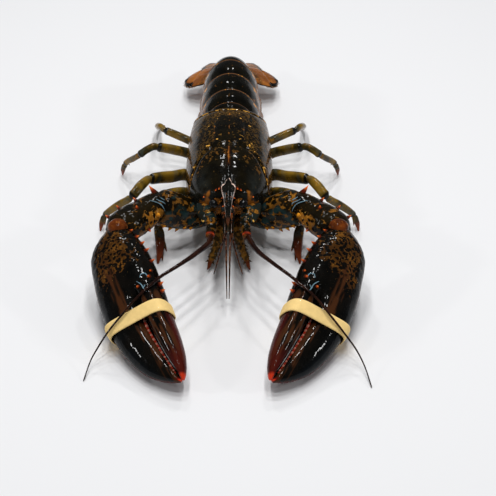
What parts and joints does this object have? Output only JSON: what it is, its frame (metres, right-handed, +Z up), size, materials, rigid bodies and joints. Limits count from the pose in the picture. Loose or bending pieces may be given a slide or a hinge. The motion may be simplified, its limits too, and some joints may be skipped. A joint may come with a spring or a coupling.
{
  "type": "american lobster",
  "caption": "Live-coloured lobster lying flat, heavy banded claws stretched forward, legs spread, abdomen arched and tail fan spread behind.",
  "frame": {"origin": "bottom centre of the bounding box, on the surface the animal lies on", "axes": "+Z up, -Y the way the head and claws point, +Y to the tail, +X the animal's own left"},
  "size_m": [0.1774, 0.3582, 0.0646],
  "materials": {
    "shell": "wet, glossy, near-black green-brown shell with orange-brown mottling",
    "claw": "wet, glossy, dark blue-brown shell with orange mottling and red fingertips",
    "leg": "wet, glossy, olive-brown shell with blue-grey joints and red-brown tips",
    "fan": "wet, glossy, orange-brown shell with dark rims",
    "feeler": "smooth, dark maroon-brown",
    "eye": "polished black",
    "band": "matt, cream-tan rubber"
  },
  "bodies": {
    "root": {"carapace": "shell", "sternum": "leg", "abdomen_1": "shell", "abdomen_2": "shell", "abdomen_3": "shell", "abdomen_4": "shell", "abdomen_5": "shell", "abdomen_6": "shell", "telson": "fan", "uropod_inner_left": "fan", "uropod_outer_left": "fan", "eyestalk_left": "shell", "eye_left": "eye", "antenna_base_left": "leg", "antenna_scale_left": "leg", "antenna_left": "feeler", "antennule_left": "feeler", "maxilliped_left": "leg", "arm_left": "leg", "forearm_left": "claw", "claw_left": "claw", "claw_finger_left": "claw", "claw_band_left": "band", "leg_1_left_upper": "leg", "leg_1_left_lower": "leg", "leg_2_left_upper": "leg", "leg_2_left_lower": "leg", "leg_3_left_upper": "leg", "leg_3_left_lower": "leg", "leg_4_left_upper": "leg", "leg_4_left_lower": "leg", "uropod_inner_right": "fan", "uropod_outer_right": "fan", "eyestalk_right": "shell", "eye_right": "eye", "antenna_base_right": "leg", "antenna_scale_right": "leg", "antenna_right": "feeler", "antennule_right": "feeler", "maxilliped_right": "leg", "arm_right": "leg", "forearm_right": "claw", "claw_right": "claw", "claw_finger_right": "claw", "claw_band_right": "band", "leg_1_right_upper": "leg", "leg_1_right_lower": "leg", "leg_2_right_upper": "leg", "leg_2_right_lower": "leg", "leg_3_right_upper": "leg", "leg_3_right_lower": "leg", "leg_4_right_upper": "leg", "leg_4_right_lower": "leg"}
  },
  "joints": []
}
